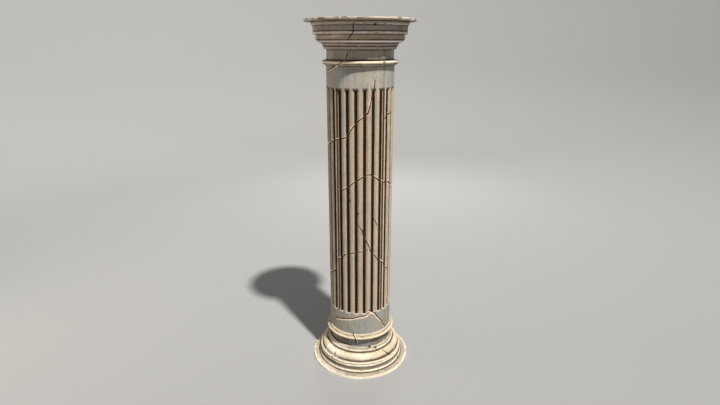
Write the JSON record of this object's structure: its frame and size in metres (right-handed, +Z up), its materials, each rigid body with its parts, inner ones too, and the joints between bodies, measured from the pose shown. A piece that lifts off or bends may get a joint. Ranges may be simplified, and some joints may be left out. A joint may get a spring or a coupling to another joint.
{
  "type": "greek column",
  "caption": "Free-standing fluted stone column with a moulded round base, a ringed shaft and a matching capital whose flat round top carries a beam or an ornament.",
  "frame": {"origin": "centre of the underside of the foot plate, on the column's axis", "axes": "+Z up along the column's axis; -Y is the side that the picture shows"},
  "size_m": [0.882, 0.882, 3],
  "materials": {
    "base_stone": "matte",
    "shaft_stone": "matte",
    "capital_stone": "matte"
  },
  "bodies": {
    "root": {"base": "base_stone", "shaft": "shaft_stone", "capital": "capital_stone"}
  },
  "joints": []
}
